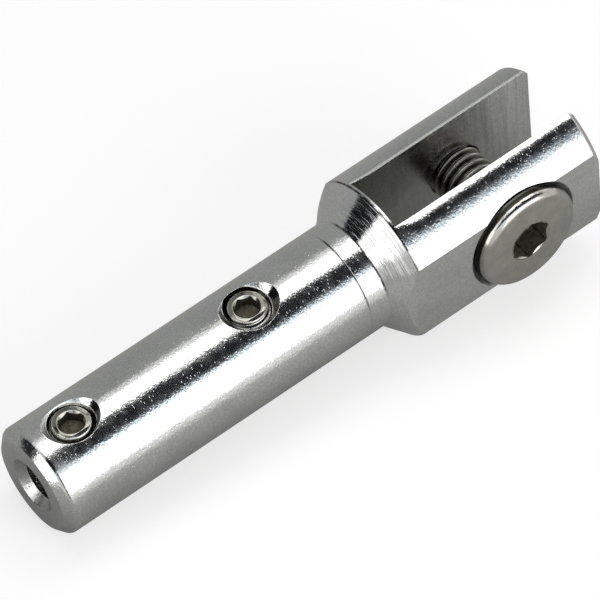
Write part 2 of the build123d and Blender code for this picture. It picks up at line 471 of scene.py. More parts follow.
def fork_terminal_body(sizes):
    """The machined body: blank, flats, slot, bore, countersink and tapped holes."""
    wall, bore = sizes.slot_width / 2, sizes.bore_radius
    reach = FORK_RADIUS + CUT_MARGIN
    past_tips = TIP_X + CUT_MARGIN
    outside = FLAT_Y + CUT_MARGIN
    top = sizes.barrel_radius + CUT_MARGIN
    before_entry = ENTRY_X - CUT_MARGIN
    body = turned_blank(sizes)
    flats = Vector((before_entry, -FLAT_Y, -reach)), Vector((past_tips, FLAT_Y, reach))
    combine(body, box_object("flats", *flats), "INTERSECT")
    slot = Vector((lengthwise(sizes)[2], -wall, -reach)), Vector((past_tips, wall, reach))
    combine(body, box_object("slot", *slot))
    roll_slot_sides(body, sizes)
    round_slot_edges(body, sizes)

    bore_end = ENTRY_X + sizes.bore_depth
    slope = (sizes.mouth_radius - bore) / sizes.mouth_depth
    drill(
        body, along_x(), sizes.segments // 3, (before_entry, sizes.mouth_radius + slope * CUT_MARGIN),
        (ENTRY_X + sizes.mouth_depth, bore), (bore_end, bore), (bore_end + bore / tan(DRILL_POINT), 0))
    tapped = sizes.tapped_radius
    edge = sizes.tapped_break
    drill(
        body, along_minus_y(CLEVIS_X), sizes.segments // 2, (-outside, tapped + edge),
        (-FLAT_Y, tapped + edge), (-FLAT_Y + edge, tapped), (-wall - edge, tapped), (-wall, tapped + edge),
        (0, tapped + edge), (0, sizes.clear_radius), (outside, sizes.clear_radius))
    sink_x, sink_z = clevis_sink_centre(sizes)
    sink_bottom = FLAT_Y - (sizes.sink_radius - sizes.clevis_hub)
    drill(
        body, along_minus_y(sink_x, z=sink_z), sizes.segments // 2, (sink_bottom, sizes.clevis_hub),
        (FLAT_Y, sizes.sink_radius), (outside, sizes.sink_radius))
    hole = sizes.set_hole_radius
    mouth_hub = 1.5 * MM
    for x, mouth_x, mouth_y, mouth_radius, _ in set_mouths(sizes):
        drill(
            body, Matrix.Translation((x, 0, 0)), sizes.segments // 3, (-hole / tan(DRILL_POINT), 0),
            (0, hole), (top, hole))
        drill(
            body, Matrix.Translation((mouth_x, mouth_y, 0)), sizes.segments // 3,
            (sizes.barrel_radius - mouth_radius + mouth_hub, mouth_hub), (top, mouth_radius + CUT_MARGIN))
    return smooth_with_sharp_edges(body, SHARP_BODY_EDGE)


# Node helpers

class Value:
    """Output of a node. A sum or comparison of values and numbers, written as usual, adds its nodes."""

    def __init__(self, write, socket):
        self.write = write
        self.socket = socket

    def __add__(self, other):
        return self.write.math("ADD", self, other)

    def __sub__(self, other):
        return self.write.math("SUBTRACT", self, other)

    def __rsub__(self, other):
        return self.write.math("SUBTRACT", other, self)

    def __mul__(self, other):
        return self.write.math("MULTIPLY", self, other)

    def __truediv__(self, other):
        return self.write.math("DIVIDE", self, other)

    def __rtruediv__(self, other):
        return self.write.math("DIVIDE", other, self)

    def __lt__(self, other):
        return self.write.math("LESS_THAN", self, other)

    def __gt__(self, other):
        return self.write.math("GREATER_THAN", self, other)

    def __abs__(self):
        return self.write.math("ABSOLUTE", self)

    def __neg__(self):
        return self * -1.0

    __radd__, __rmul__ = __add__, __mul__

    def ramp(self, low, high, to_low=0.0, to_high=1.0):
        """Smooth step from one range to another."""
        return self.write.value(
            "Result", "ShaderNodeMapRange", {"interpolation_type": "SMOOTHSTEP"}, Value=self,
            From_Min=low, From_Max=high, To_Min=to_low, To_Max=to_high)

    def fall(self, low, high, height=1.0):
        """Smooth step from a height down to 0."""
        return self.ramp(low, high, height, 0.0)


class NodeWriter:
    """Adds nodes to a tree."""

    def __init__(self, tree):
        self.tree = tree

    def feed(self, socket, given):
        """Link an input to a value, or set it to a number or colour."""
        if isinstance(given, Value):
            self.tree.links.new(given.socket, socket)
        elif socket.type == "RGBA":
            socket.default_value = (*given, 1.0)
        else:
            socket.default_value = given

    def node(self, kind, settings=None, **inputs):
        """A node of a kind, with its settings and its inputs by name."""
        made = self.tree.nodes.new(kind)
        for key, setting in (settings or {}).items():
            setattr(made, key, setting)
        for key, given in inputs.items():
            self.feed(made.inputs[key.replace("_", " ")], given)
        return made

    def value(self, output, kind, settings=None, **inputs):
        """One output of a new node."""
        return Value(self, self.node(kind, settings, **inputs).outputs[output])

    def fold(self, kind, settings, inputs, first=0, output=0):
        """Output of a node whose inputs are fed in order, from the first on."""
        made = self.node(kind, settings)
        for socket, given in zip(made.inputs[first:], inputs):
            self.feed(socket, given)
        return Value(self, made.outputs[output])

    def math(self, operation, *inputs, clamp=False):
        """Result of a math node."""
        return self.fold("ShaderNodeMath", {"operation": operation, "use_clamp": clamp}, inputs)

    def turn(self, up, across):
        """Angle of a direction, from its second number towards its first."""
        return self.math("ARCTAN2", up, across)

    def length(self, a, b):
        """Length of the vector (a, b)."""
        return self.math("SQRT", a * a + b * b)

    def largest(self, first, *others):
        """Largest of some values."""
        for other in others:
            first = self.math("MAXIMUM", first, other)
        return first

    def axes(self, vector):
        """X, Y and Z of a vector."""
        split = self.node("ShaderNodeSeparateXYZ", Vector=vector)
        return [Value(self, socket) for socket in split.outputs]

    def vector(self, x=0.0, y=0.0, z=0.0):
        """A vector from its parts."""
        return self.value(0, "ShaderNodeCombineXYZ", X=x, Y=y, Z=z)

    def place(self):
        """Object coordinates."""
        return self.value("Object", "ShaderNodeTexCoord")

    def mix(self, share, a, b):
        """Plain number between two."""
        made = self.node("ShaderNodeMix", {"data_type": "FLOAT"})
        for socket, given in zip((made.inputs[0], *made.inputs[2:4]), (share, a, b)):
            self.feed(socket, given)
        return Value(self, made.outputs[0])

    def mix_colour(self, share, a, b, blend="MIX"):
        """Colour between two."""
        made = self.node("ShaderNodeMix", {"data_type": "RGBA", "blend_type": blend})
        for socket, given in zip((made.inputs[0], *made.inputs[6:8]), (share, a, b)):
            self.feed(socket, given)
        return Value(self, made.outputs[2])

    def shaded(self, colour, level):
        """A colour times a level."""
        grey = self.value(0, "ShaderNodeCombineColor", Red=level, Green=level, Blue=level)
        return self.mix_colour(1.0, colour, grey, "MULTIPLY")

    def noise(self, vector, scale, detail=2.0, roughness=0.6):
        """Noise at a vector."""
        return self.value(
            "Fac", "ShaderNodeTexNoise", Vector=vector, Scale=scale, Detail=detail, Roughness=roughness)

    def group(self, name, **inputs):
        """Outputs of a shared group, by its name."""
        node = self.node("ShaderNodeGroup", {"node_tree": shared_group(name)}, **inputs)
        return [Value(self, socket) for socket in node.outputs]

    def surface(self, shader, kind="Material"):
        """Put a shader on the tree's output."""
        self.node(f"ShaderNodeOutput{kind}", Surface=shader)


def new_group(name, kind, inputs, outputs):
    """Node group, as (group, writer, inputs by name, output node). An input has a default or a kind."""
    group = bpy.data.node_groups.new(name, kind)
    for key, given in inputs.items():
        if isinstance(given, str):
            group.interface.new_socket(key, in_out="INPUT", socket_type=f"NodeSocket{given}")
            continue
        number = "NodeSocketInt" if isinstance(given, int) else "NodeSocketFloat"
        group.interface.new_socket(key, in_out="INPUT", socket_type=number).default_value = given
    for key, given in outputs.items():
        group.interface.new_socket(key, in_out="OUTPUT", socket_type=f"NodeSocket{given}")
    write = NodeWriter(group)
    take = {socket.name: Value(write, socket) for socket in group.nodes.new("NodeGroupInput").outputs}
    return group, write, take, group.nodes.new("NodeGroupOutput")


def shared_group(name):
    """Node group by name, made the first time."""
    return bpy.data.node_groups.get(name) or SHARED_GROUPS[name]()


# Threads and sockets in geometry nodes

THREAD_INPUTS = {
    "Length": 0.01, "Crest": 0.0025, "Root": 0.002, "Pitch": 0.0008, "Phase": 0.0, "Low Chamfer": 0.0004,
    "High Chamfer": 0.0, "Chamfer Slope": 1.0, "Segments": 64, "Rings": 100,
}
KEY_INPUTS = {"Key": 0.003, "Depth": 0.002, "Mouth": 0.0019, "Turn": 0.0}
SOLID = {"fill_type": "NGON"}


def thread_group():
    """Threaded rod along Z from 0 to its length, chamfered at both ends, with a right-hand thread."""
    group, write, take, result = new_group(
        "Threaded rod", "GeometryNodeTree", THREAD_INPUTS, {"Geometry": "Geometry"})
    length, crest, slope = take["Length"], take["Crest"], take["Chamfer Slope"]
    rod = write.value(
        "Mesh", "GeometryNodeMeshCylinder", SOLID, Vertices=take["Segments"], Side_Segments=take["Rings"],
        Radius=1.0, Depth=length)
    x, y, z = write.axes(write.value(0, "GeometryNodeInputPosition"))
    height = z + length * 0.5
    steps = height / take["Pitch"] - write.turn(y, x) / (2 * pi) + take["Phase"]
    from_crest = write.math("PINGPONG", steps, 0.5)
    crest_flat, root_flat = 0.07, 0.12
    depth = write.math("DIVIDE", from_crest - crest_flat, 0.5 - crest_flat - root_flat, clamp=True)
    radius = crest - (crest - take["Root"]) * depth
    low = crest - take["Low Chamfer"] + height * slope
    high = crest - take["High Chamfer"] + (length - height) * slope
    radius = write.math("MINIMUM", radius, write.math("MINIMUM", low, high))
    moved = write.value(
        0, "GeometryNodeSetPosition", Geometry=rod, Position=write.vector(x * radius, y * radius, height))
    write.feed(result.inputs["Geometry"], moved)
    return group


def boolean(write, operation, tools, base=None):
    """Solid that joins the tools, or that they are cut out of."""
    made = write.node("GeometryNodeMeshBoolean", {"operation": operation, "solver": "EXACT"})
    if base is not None:
        write.feed(made.inputs["Mesh 1"], base)
    for tool in tools:
        write.feed(made.inputs["Mesh 2"], tool)
    return Value(write, made.outputs["Mesh"])


def socket_group():
    """Hexagon socket cutter that opens upwards at z = 0, with a chamfered mouth and a drill point."""
    group, write, take, result = new_group(
        "Hexagon socket", "GeometryNodeTree", KEY_INPUTS, {"Geometry": "Geometry"})
    above = 0.5 * MM
    full, wide = take["Depth"] + above, take["Mouth"] + above
    half_key = take["Key"] * 0.499
    point_height = half_key / tan(DRILL_POINT)
    hexagon = write.value(
        "Mesh", "GeometryNodeMeshCylinder", SOLID, Vertices=6, Depth=full,
        Radius=take["Key"] / (2 * cos(radians(30))))
    mouth = write.value(
        "Mesh", "GeometryNodeMeshCone", SOLID, Vertices=64, Radius_Top=wide, Radius_Bottom=0.0, Depth=wide)
    point = write.value(
        "Mesh", "GeometryNodeMeshCone", SOLID, Vertices=48, Radius_Top=half_key, Radius_Bottom=0.0,
        Depth=point_height)
    placed = [
        write.value(
            0, "GeometryNodeTransform", Geometry=piece, Translation=write.vector(z=z),
            Rotation=write.vector(z=turn))
        for piece, z, turn in (
            (hexagon, above - full * 0.5, take["Turn"]), (mouth, above - wide, 0.0),
            (point, -(take["Depth"] + point_height), 0.0))
    ]
    write.feed(result.inputs["Geometry"], boolean(write, "UNION", placed))
    return group


def screw_group():
    """Screw: the given head, if any, joined to a threaded rod and cut by a hexagon socket at the top."""
    group, write, take, result = new_group("Socket screw", "GeometryNodeTree", {
        "Head": "Geometry", **THREAD_INPUTS, **KEY_INPUTS, "Face Height": 0.01, "Material": "Material",
    }, {"Geometry": "Geometry"})

    def with_own_inputs(name, inputs):
        inner = write.node("GeometryNodeGroup", {"node_tree": shared_group(name)})
        for key in inputs:
            write.feed(inner.inputs[key], take[key])
        return Value(write, inner.outputs[0])

    rod = with_own_inputs("Threaded rod", THREAD_INPUTS)
    whole = boolean(write, "UNION", (take["Head"], rod))
    cutter = write.value(
        0, "GeometryNodeTransform", Geometry=with_own_inputs("Hexagon socket", KEY_INPUTS),
        Translation=write.vector(z=take["Face Height"]))
    cut = boolean(write, "DIFFERENCE", (cutter,), whole)
    real = write.value(0, "GeometryNodeRealizeInstances", Geometry=cut)
    covered = write.value(0, "GeometryNodeSetMaterial", Geometry=real, Material=take["Material"])
    write.feed(result.inputs["Geometry"], covered)
    return group


def run_screw_nodes(made, sizes, inputs):
    """Run the screw's nodes on an object with inputs by name, and keep the plain mesh."""
    group = shared_group("Socket screw")
    modifier = made.modifiers.new("screw", "NODES")
    modifier.node_group = group
    rings = round(inputs["Length"] / inputs["Pitch"] * sizes.rings_per_pitch)
    inputs = {**inputs, "Segments": sizes.thread_segments, "Rings": rings}
    for item in group.interface.items_tree:
        if item.in_out == "INPUT" and item.name in inputs:
            modifier[item.identifier] = inputs[item.name]
    made.update_tag()
    bpy.context.view_layer.update()
    as_evaluated_mesh(made)


def clevis_screw_mesh(sizes, material):
    """Clevis screw in its own frame, head up, with its axis on Z, then placed across the fork."""
    top = -CLEVIS_LOW.y
    end = -CLEVIS_HIGH.y
    cone_top = top - sizes.head_side
    cone_end = cone_top - (sizes.head_radius - sizes.clevis_radius)
    rod_in_head, hub_under_cone = 0.4 * MM, 0.12 * MM
    head = turned_object("clevis_screw_with_thread", rounded_profile([
        (cone_end - hub_under_cone, 0, 0),
        (cone_end - hub_under_cone, sizes.clevis_root, 0),
        (cone_end, sizes.clevis_radius, 0),
        (cone_top, sizes.head_radius, 0),
        *rounded_rim(top, sizes.head_radius, sizes.rim_width, sizes.rim_height),
        (top, 0, 0),
    ]), Matrix.Translation((0, 0, -end)), 160)
    run_screw_nodes(head, sizes, {
        "Length": cone_end + rod_in_head - end, "Crest": sizes.clevis_radius, "Root": sizes.clevis_root,
        "Pitch": sizes.clevis_pitch, "Phase": -end / sizes.clevis_pitch,
        "Low Chamfer": sizes.clevis_chamfer, "High Chamfer": 0.0, "Chamfer Slope": 1.0,
        "Key": sizes.clevis_key, "Depth": sizes.clevis_socket, "Mouth": sizes.clevis_mouth,
        "Turn": sizes.clevis_turn, "Face Height": top - end, "Material": material,
    })

    def on_thread(edge):
        return max(vertex.co.z for vertex in edge.verts) < cone_end - end

    smooth_with_sharp_edges(head, SHARP_SCREW_EDGE, on_thread)
    head.data.transform(along_minus_y(CLEVIS_X, -end))
    return head


def set_screw_mesh(name, x, low, high, turn, phase, sizes, material):
    """Set screw in place, socket up."""
    made = linked(name, bpy.data.meshes.new(name))
    run_screw_nodes(made, sizes, {
        "Length": high - low, "Crest": sizes.set_radius, "Root": sizes.set_root, "Pitch": sizes.set_pitch,
        "Phase": phase, "Low Chamfer": sizes.set_chamfer, "High Chamfer": sizes.set_chamfer,
        "Chamfer Slope": sizes.set_chamfer / sizes.set_chamfer_length,
        "Key": sizes.set_key, "Depth": sizes.set_socket, "Mouth": sizes.set_mouth, "Turn": turn,
        "Face Height": high - low, "Material": material,
    })
    face_rim = sizes.set_radius - 0.45 * MM

    def on_thread(edge):
        return min(Vector(vertex.co[:2]).length for vertex in edge.verts) > face_rim

    smooth_with_sharp_edges(made, SHARP_SCREW_EDGE, on_thread)
    made.data.transform(Matrix.Translation((x, 0, low)))
    return made


# Finishes

def new_material(name):
    """Material with an empty tree, as (material, writer)."""
    material = bpy.data.materials.new(name)
    material.use_nodes = True
    material.node_tree.nodes.clear()
    return material, NodeWriter(material.node_tree)


def grain_group():
    """Skin of a plated surface: height from fine noise and scattered pits, and a mask of the pits."""
    group, write, take, result = new_group(
        "Plating grain", "ShaderNodeTree", {"Vector": "Vector", "Size": 0.0002},
        {"Height": "Float", "Pits": "Float"})
    scaled = write.value(
        "Vector", "ShaderNodeVectorMath", {"operation": "SCALE"}, Vector=take["Vector"],
        Scale=1.0 / take["Size"])
    cells = write.node("ShaderNodeTexVoronoi", Vector=scaled, Scale=1.0)
    distance, colour = (Value(write, cells.outputs[name]) for name in ("Distance", "Color"))
    chance = write.value("Red", "ShaderNodeSeparateColor", Color=colour)
    pits = distance.fall(0.05, 0.34) * chance.ramp(0.5, 1.0)
    skin = write.noise(scaled, 1.0, 1.5) + write.noise(scaled, 0.4, 1.0, 0.5) * 0.4 - pits * 1.1
    write.feed(result.inputs["Height"], skin)
    write.feed(result.inputs["Pits"], pits)
    return group


def groove_group():
    """Cutter marks: uneven parallel grooves along one coordinate, broken up along another."""
    group, write, take, result = new_group(
        "Cutter marks", "ShaderNodeTree", {"Across": 0.0, "Along": 0.0, "Pitch": 0.0002, "Run": 0.004},
        {"Height": "Float"})
    place = write.vector(take["Across"] / take["Pitch"], take["Along"] / take["Run"])
    marks = write.noise(place, 1.0) * 0.7 + write.noise(place, 0.31, 1.0, 0.5) * 0.9
    write.feed(result.inputs["Height"], marks)
    return group


SHARED_GROUPS = {
    "Threaded rod": thread_group, "Hexagon socket": socket_group, "Socket screw": screw_group,
    "Plating grain": grain_group, "Cutter marks": groove_group,
}


def cover_with_metal(write, base, roughness, height, edge):
    """Metal of a colour and roughness, with a height and softened edges."""
    bevel = write.value(0, "ShaderNodeBevel", {"samples": 4}, Radius=edge)
    bump = write.value(0, "ShaderNodeBump", Strength=1.0, Distance=1.0, Height=height, Normal=bevel)
    write.surface(write.value(
        0, "ShaderNodeBsdfPrincipled", Metallic=1.0, Base_Color=base, Roughness=roughness, Normal=bump))


def set_hole_masks(write, place, sizes):
    """Masks of the painted shade in the set holes' countersinks, spared on the side towards the light, and
    of the painted highlights on the edges round them.
    """
    x, y, z = write.axes(place)
    thin, soft = 0.03 * MM, (0.04 * MM, 0.09 * MM)
    light_x, light_y = cos(radians(28)), sin(radians(28))
    on_top = z > 2 * MM
    below_skin = (write.length(y, z) < sizes.barrel_radius - 0.02 * MM) * on_top
    sink_shade, edge_highlight = [], []
    for hole_x, mouth_x, mouth_y, mouth_radius, unshaded_entry in set_mouths(sizes):
        off_x, off_y = x - mouth_x, y - mouth_y
        from_mouth = write.length(off_x, off_y)
        from_wall = write.length(x - hole_x, y) - sizes.set_hole_radius
        rim = z + (mouth_radius - sizes.barrel_radius + thin)
        past_rim = write.math("MINIMUM", from_mouth - rim, from_wall)
        towards = (off_x * light_x + off_y * light_y) / from_mouth
        from_entry = (off_x - off_y * 0.5) / from_mouth
        # Painted shade in the countersink, except on the side towards the light, and less on the front
        # hole's entry side
        sink_shade.append(
            below_skin * (past_rim < thin) * towards.fall(0.93, 0.96)
            * from_entry.ramp(0.1, 0.5, 1.0 - unshaded_entry, 1.0))
        # Painted highlight on the countersink's rim, on the side away from the light direction, broken up by
        # noise
        edge_highlight.append(
            past_rim.fall(thin, 2 * thin, 0.75) * (1.0 - below_skin) * on_top
            * towards.fall(-0.2, 0.3) * write.noise(place, 2500.0, 1.0, 0.5).ramp(0.4, 0.55))
        off_cone = abs(from_mouth + thin - rim)
        # Painted highlight round the hole's edge inside the countersink, broken up by noise
        edge_highlight.append(
            abs(from_wall).fall(*soft, 0.9) * below_skin * off_cone.fall(*soft)
            * write.noise(place, 1800.0).ramp(0.36, 0.5, 0.25, 1.0))
    return write.largest(*sink_shade), write.largest(*edge_highlight)


def line_shade_mask(write, place, lit_degrees, sizes):
    """Mask of the painted shade along the lines turned round the body, each over a range of degrees round
    the barrel.
    """
    x = write.axes(place)[0]
    barrel_end, cone_end, _ = lengthwise(sizes)
    chamfer_end = ENTRY_X + sizes.entry_chamfer_length
    lines = []
    for line_x, half_width, strength, lowest, highest in (
        (chamfer_end + 0.08 * MM, 0.09 * MM, 0.85, 24, 75),
        (ENTRY_X + sizes.witness_line, 0.5 * sizes.witness_width, 0.85, 22, 104),
        (barrel_end, 0.1 * MM, 0.95, 22, 115),
        (cone_end + 0.04 * MM, 0.11 * MM, 0.95, 22, 135),
    ):
        lines.append(
            abs(x - line_x).fall(0.5 * half_width, 1.1 * half_width, strength)
            * lit_degrees.ramp(lowest - 8, lowest + 8) * lit_degrees.fall(highest - 10, highest + 10))
    return write.largest(*lines) * write.noise(place, 1500.0).ramp(0.38, 0.55, 0.6, 1.0)


def clevis_sink_mask(write, place, sizes):
    """Mask of the clevis screw's countersink."""
    x, y, z = write.axes(place)
    sink_x, sink_z = clevis_sink_centre(sizes)
    near_side = -y
    in_cone = write.length(x - sink_x, z - sink_z) < near_side - (FLAT_Y - sizes.sink_radius - 0.03 * MM)
    return in_cone * (near_side < FLAT_Y - 0.01 * MM) * (near_side > 0.6 * FLAT_Y)


def plated_finish(finish, sizes):
    """Bright plating over turned and milled steel."""
    material, write = new_material("bright_plating")
    place = write.place()
    x, y, z = write.axes(place)
    facing_y = write.axes(write.value("Normal", "ShaderNodeTexCoord"))[1]
    barrel_end, cone_end, slot_floor = lengthwise(sizes)
    turn = write.turn(z, y) * sizes.barrel_radius
    lit_degrees = write.turn(z, -y) * degrees(1)

    # Zones
    flats_start = cone_end - 0.4 * MM
    on_fork = x > flats_start
    milled = abs(facing_y).ramp(0.985, 0.998) * on_fork
    not_milled = 1.0 - milled
    in_slot = milled * (abs(y) < 0.75 * FLAT_Y)
    deep_in_slot = in_slot * x.fall(slot_floor + 2 * MM, slot_floor + 14 * MM)
    on_cone = (x > barrel_end) * (x < cone_end) * not_milled
    off_slot_edge = abs(abs(y) - (sizes.slot_width + sizes.slot_edge) / 2)
    on_slot_edge = on_fork * not_milled * (off_slot_edge < 0.7 * sizes.slot_edge) * (x > slot_floor)
    in_mouth = (write.length(y, z) < sizes.mouth_radius - 0.02 * MM) * (x < ENTRY_X + sizes.mouth_depth)
    lit_side = lit_degrees.ramp(24, 46) * lit_degrees.fall(94, 116)
    in_sink = clevis_sink_mask(write, place, sizes)
    # Painted shade in the set holes' countersinks, and painted highlights round them
    set_sink_shade, hole_edge_highlights = set_hole_masks(write, place, sizes)
    # Painted highlights along the slot's edges, added to those round the set holes
    edge_highlight = write.largest(hole_edge_highlights, on_slot_edge * 0.8)
    line_shade = line_shade_mask(write, place, lit_degrees, sizes) * not_milled

    # Height
    stretched = write.value(0, "ShaderNodeMapping", Vector=place, Scale=(1.8, 1.0, 1.0))
    skin, pits = write.group("Plating grain", Vector=stretched, Size=0.28 * MM)
    calm = write.largest(milled * 0.75 + on_cone * 0.85, on_slot_edge * 0.85)
    skin_height = skin * finish.grain_height * (1.0 - calm)
    turned_marks = write.group("Cutter marks", Across=x, Along=turn, Pitch=0.1 * MM, Run=3.0 * MM)[0]
    turned_share = write.mix(on_cone, 0.02, write.mix(lit_side, 0.12, 1.0)) * not_milled
    turned_height = turned_marks * finish.groove_height * turned_share
    milled_marks = write.group("Cutter marks", Across=x, Along=z, Pitch=0.2 * MM, Run=9.0 * MM)[0]
    milled_height = milled_marks * finish.milling_height * write.mix(in_slot, 0.4, 1.0) * milled

    # Colour
    cloud = write.noise(place, 180.0, 3.0).ramp(0.3, 0.7, 0.94, 1.04)
    speckle = write.noise(place, 5000.0).ramp(0.35, 0.65, 0.92, 1.06)
    # Painted light and shade: streaks along the turning marks, on the cone's lit side only
    painted_cone_streaks = write.mix(on_cone * lit_side, 1.0, turned_marks.ramp(0.6, 0.95, 0.65, 1.05))
    slot_marks = write.group("Cutter marks", Across=x, Along=z, Pitch=0.16 * MM, Run=4.0 * MM)[0]
    slot_tone = write.mix(in_slot, 1.0, slot_marks.ramp(0.55, 1.0, 0.98, 1.24))
    # Painted shade in the wire bore's mouth; the cone is a little brighter
    zone_tone = write.mix(in_mouth, 1.0, 0.78) * write.mix(on_cone, 1.0, 1.1)
    tone = cloud * speckle * pits.ramp(0.55, 0.95, 1.0, 0.55) * painted_cone_streaks * slot_tone * zone_tone
    base = write.shaded(finish.plating, tone)
    for share, colour in (
        # Painted shade towards the slot's floor
        (deep_in_slot * 0.6, finish.slot_floor_shade),
        # Painted shade in the set holes' countersinks
        (set_sink_shade * 0.8, finish.painted_recess_shade),
        # Painted shade in the clevis screw's countersink
        (in_sink * 0.1, finish.painted_recess_shade),
        # Painted shade along the turned lines
        (line_shade, finish.painted_recess_shade),
        # Painted highlights on edges
        (edge_highlight, finish.edge_highlight_colour),
    ):
        base = write.mix_colour(share, base, colour)

    # Roughness
    smear = write.noise(place, 900.0).ramp(0.35, 0.7, 0.85, 1.25)
    past_chamfer = x.ramp(ENTRY_X + 0.8 * MM, ENTRY_X + 1.1 * MM)
    dull_end = past_chamfer * x.fall(ENTRY_X + 1 * MM, ENTRY_X + 4 * MM, 0.6)
    rough = finish.plating_roughness
    for share, other in (
        (milled, finish.milled_roughness),
        (on_cone, 0.6 * finish.plating_roughness),
        (in_sink, 2.5 * finish.plating_roughness),
        (write.largest(dull_end, in_mouth), finish.dull_roughness),
    ):
        rough = write.mix(share, rough, other)
    rough = write.mix(edge_highlight, rough * smear, finish.edge_highlight_roughness)
    cover_with_metal(write, base, rough, skin_height + turned_height + milled_height, 0.05 * MM)
    return material


def screw_finish(name, colour, inside_colour, roughness, face, along, finish, masks):
    """Turned steel screw, whose masks of painted shade, socket and painted edge highlights come from depth
    and radius.
    """
    material, write = new_material(name)
    place = write.place()
    x, y, z = (axis - middle for axis, middle in zip(write.axes(place), face))
    second, depth = (z, y) if along == "Y" else (y, -z)
    radius = write.length(x, second)
    usual_radius = 2.0 * MM
    turn = write.turn(second, x) * usual_radius
    uneven = write.noise(place, 1400.0, 3.0, 0.65)
    lit_side = (second - x * 0.14) / radius
    painted_shade, socket, edge_highlight, thread = masks(write, depth, radius, uneven, lit_side)

    skin = write.group("Plating grain", Vector=place, Size=0.2 * MM)[0] * (0.12 * finish.grain_height)
    rings = write.group("Cutter marks", Across=radius, Along=turn, Pitch=0.12 * MM, Run=4.0 * MM)[0]
    height = skin + rings * (0.5 * finish.milling_height)
    base = write.shaded(colour, write.noise(place, 700.0, 3.0).ramp(0.3, 0.7, 0.74, 0.88))
    mottle = write.noise(place, 2600.0, 3.0, 0.65).ramp(0.35, 0.65, 0.6, 1.15)
    # Painted shade from the masks, in near-black
    base = write.mix_colour(painted_shade, base, finish.painted_recess_shade)
    # Inside the socket: its own mottled colour, darkened as painted shade
    base = write.mix_colour(socket, base, write.shaded(inside_colour, mottle))
    # Painted highlights from the masks
    base = write.mix_colour(edge_highlight, base, finish.edge_highlight_colour)
    smear = write.noise(place, 2200.0).ramp(0.35, 0.7, 0.85, 1.3)
    rough = write.mix(thread, smear * roughness, finish.thread_roughness)
    rough = write.mix(socket, rough, finish.socket_roughness)
    rough = write.mix(edge_highlight, rough, finish.edge_highlight_roughness)
    cover_with_metal(write, base, rough, height, 0.04 * MM)
    return material


def clevis_masks(sizes):
    """Masks of the clevis screw: painted shade under the head's rim and in the thread, a painted highlight
    on the rim, and the rough socket.
    """
    thread_edge = sizes.clevis_radius + 0.1 * MM
    thread_end = CLEVIS_HIGH.y - CLEVIS_LOW.y - 0.03 * MM
    bright_line = 0.53 * MM
    socket_end = 3.2 * MM

    def masks(write, depth, radius, uneven, lit_side):
        # Painted shade on the head's side under the rim, down into the countersink
        under_rim = (
            (depth + uneven * (0.2 * MM)).ramp(0.7 * MM, 0.8 * MM) * (radius > thread_edge)
            * depth.ramp(1.0 * MM, 1.2 * MM, 1.0, 0.7))
        on_rim = radius > sizes.head_radius - sizes.rim_width + 0.02 * MM
        on_thread = (depth > sizes.head_side) * (radius < thread_edge) * (depth < thread_end)
        # Painted shade in the thread's roots, and less over its crests
        in_roots = radius.ramp(sizes.clevis_radius - 0.22 * MM, sizes.clevis_radius - 0.03 * MM, 0.8, 0.25)
        # Painted highlight: a bright line round the rim, on its lit side only, broken up by noise
        edge_highlight = (
            abs(depth - bright_line).fall(0.05 * MM, 0.11 * MM, 0.9) * on_rim * lit_side.ramp(0.6, 0.75)
            * uneven.ramp(0.42, 0.56, 0.1, 1.0))
        in_socket = (
            (sizes.clevis_mouth + 0.04 * MM - radius < depth) * (radius < sizes.clevis_mouth + 0.12 * MM)
            * (depth < socket_end))
        painted_shade = write.largest(under_rim, on_thread * in_roots)
        return painted_shade, in_socket, edge_highlight, write.largest(on_thread, on_rim)
    return masks


def set_masks(sizes):
    """Masks of a set screw: painted shade on the chamfer and thread, rough socket, and painted highlights on
    the edges of its face.
    """
    face_edge = sizes.set_radius - sizes.set_chamfer
    shade_ring, highlight_ring = face_edge + 0.13 * MM, face_edge + 0.27 * MM
    socket_end = sizes.set_socket + 0.9 * MM

    def masks(write, depth, radius, uneven, lit_side):
        past_face = radius - shade_ring
        # Painted shade: about a third of the way to near-black all over, more from the chamfer outwards and
        # most in a ring on it, with random unevenness
        painted_shade = (
            past_face.ramp(-0.1 * MM, -0.03 * MM, 0.35, 0.45)
            + abs(past_face).fall(0.03 * MM, 0.1 * MM, 0.45) + (uneven - 0.5) * 0.6)
        in_socket = (
            (sizes.set_mouth + 0.03 * MM - radius < depth) * (radius < sizes.set_mouth)
            * (depth < socket_end))
        # Painted highlights: bright rings at the socket's mouth, the face's edge and on the chamfer
        edge_highlight = write.largest(*(
            abs(radius - ring).fall(0.02 * MM, 0.07 * MM, strength)
            for ring, strength in ((sizes.set_mouth, 0.3), (face_edge, 0.7), (highlight_ring, 0.8))))
        edge_highlight = (
            edge_highlight * (depth < sizes.set_chamfer_length) * (1.0 - in_socket)
            * uneven.ramp(0.36, 0.5, 0.3, 1.0))
        return painted_shade, in_socket, edge_highlight, 0.0
    return masks


# Studio

WHITE = (1.0, 1.0, 1.0)
LAMP_DISTANCE = 0.3
LAMP_LENGTH = 0.36
LAMP_X = 0.085
FLOOR_SIZE = 3.0
AIM_FROM_ENTRY = Vector((24.679, -4.321, 7.609)) * MM


def seen_background(write):
    """1 for the rays that see the background: those of the camera, of reflections and through glass."""
    path = write.node("ShaderNodeLightPath").outputs
    rays = ("Is Camera Ray", "Is Glossy Ray", "Is Transmission Ray")
    return write.largest(*(Value(write, path[name]) for name in rays))


def white_world(fill):
    """White where it is seen, and a plain fill light elsewhere."""
    world = bpy.data.worlds.new("studio_world")
    world.use_nodes = True
    world.node_tree.nodes.clear()
    write = NodeWriter(world.node_tree)
    strength = write.mix(seen_background(write), fill, 1.0)
    write.surface(write.value(0, "ShaderNodeBackground", Color=WHITE, Strength=strength), "World")
    bpy.context.scene.world = world


